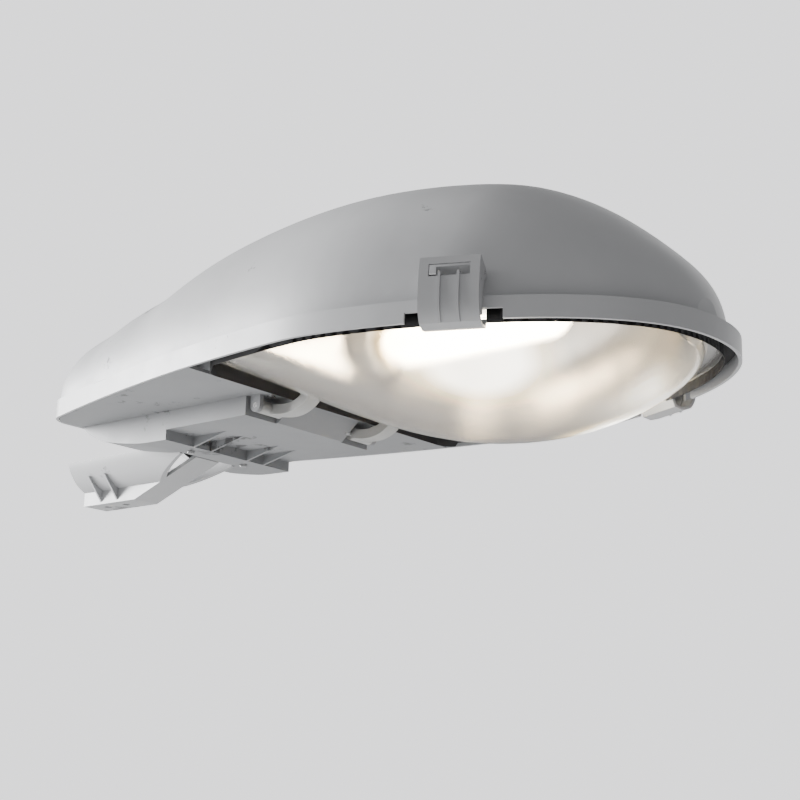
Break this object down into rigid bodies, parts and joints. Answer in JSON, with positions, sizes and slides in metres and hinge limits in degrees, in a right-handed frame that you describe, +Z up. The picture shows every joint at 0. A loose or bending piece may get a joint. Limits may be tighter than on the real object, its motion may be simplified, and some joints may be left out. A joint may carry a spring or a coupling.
{
  "type": "lantern-style lamp head",
  "caption": "Domed lamp head with a clear hinged bowl, side clips, an inner reflector and lamp, and a clamp under its rear for a pole end; it hangs above a growing bed and lights it.",
  "frame": {"origin": "on the axis of the pole spigot, at the clamp's inner boss", "axes": "+X along the head from the pole to the lamp, +Y to the left of that, +Z up"},
  "size_m": [0.74, 0.3933, 0.2346],
  "materials": {
    "canopy_paint": "satin light grey coating on cast aluminium",
    "bracket_casting": "satin grey coating on cast aluminium",
    "zinc_steel": "zinc plated",
    "stainless": "bright",
    "cover_paint": "satin mid grey coating on cast aluminium",
    "frame_aluminium": "mill finish",
    "gasket_rubber": "matte black",
    "sheet_steel": "galvanised",
    "reflector_aluminium": "bright anodised",
    "porcelain": "glazed porcelain",
    "brass_cap": "plated",
    "lamp_glass": "clear",
    "arc_ceramic": "translucent ceramic",
    "bowl_acrylic": "lightly prismatic clear",
    "strap_steel": "dark grey",
    "clip_plastic": "satin light grey",
    "spring_steel": "plain",
    "core_steel": "varnished laminations",
    "coil_varnish": "varnished winding",
    "capacitor_can": "plain can",
    "ignitor_case": "satin",
    "terminal_plastic": "satin",
    "clamp_plastic": "satin",
    "brass_screw": "bright"
  },
  "bodies": {
    "root": {"canopy": "canopy_paint", "spigot_bracket": "bracket_casting", "spigot_saddle": "bracket_casting", "clamp_bolts": "zinc_steel", "rear_cover": "cover_paint", "cover_screws": "stainless", "seal_frame": "frame_aluminium", "bowl_gasket": "gasket_rubber", "bulkhead": "sheet_steel", "reflector": "reflector_aluminium", "frame_screws": "zinc_steel", "holder_bracket": "sheet_steel", "lamp_holder": "porcelain", "lamp_cap": "brass_cap", "lamp_glass": "lamp_glass", "arc_tube": "arc_ceramic", "lamp_stem": "stainless", "hinge_pin_near": "stainless", "hinge_pin_far": "stainless", "clip_pin_near": "stainless", "clip_pin_far": "stainless", "gear_tray": "sheet_steel", "tray_screws": "zinc_steel", "ballast_core": "core_steel", "ballast_coil": "coil_varnish", "capacitor": "capacitor_can", "ignitor": "ignitor_case", "terminal_block": "terminal_plastic", "cable_clamp": "clamp_plastic", "earth_screw": "brass_screw"},
    "set_screw_rear": {"set_screw_rear": "stainless"},
    "set_screw_front": {"set_screw_front": "stainless"},
    "bowl": {"bowl": "bowl_acrylic", "hinge_strap_near": "strap_steel", "hinge_strap_far": "strap_steel"},
    "clip_near": {"clip_near": "clip_plastic", "clip_spring_near": "spring_steel"},
    "clip_far": {"clip_far": "clip_plastic", "clip_spring_far": "spring_steel"}
  },
  "joints": [
    {"name": "bowl_hinge", "type": "hinge", "parent": "root", "child": "bowl", "pos_m": [0.262, 0, -0.0015], "axis": [0, 1, 0], "range_deg": [0, 88], "deforming": ["clip_spring_near", "clip_spring_far"]},
    {"name": "clip_near_hinge", "type": "hinge", "parent": "root", "child": "clip_near", "pos_m": [0.54604, -0.15672, 0.046], "axis": [-0.9197, -0.3927, 0], "range_deg": [0, 65], "deforming": ["clip_spring_near"]},
    {"name": "clip_far_hinge", "type": "hinge", "parent": "root", "child": "clip_far", "pos_m": [0.54604, 0.15672, 0.046], "axis": [0.9197, -0.3927, 0], "range_deg": [0, 65], "deforming": ["clip_spring_far"]},
    {"name": "set_screw_rear_slide", "type": "slide", "parent": "root", "child": "set_screw_rear", "axis": [0, 0, 1], "range_m": [-0.009, 0]},
    {"name": "set_screw_front_slide", "type": "slide", "parent": "root", "child": "set_screw_front", "axis": [0, 0, 1], "range_m": [-0.009, 0]}
  ]
}
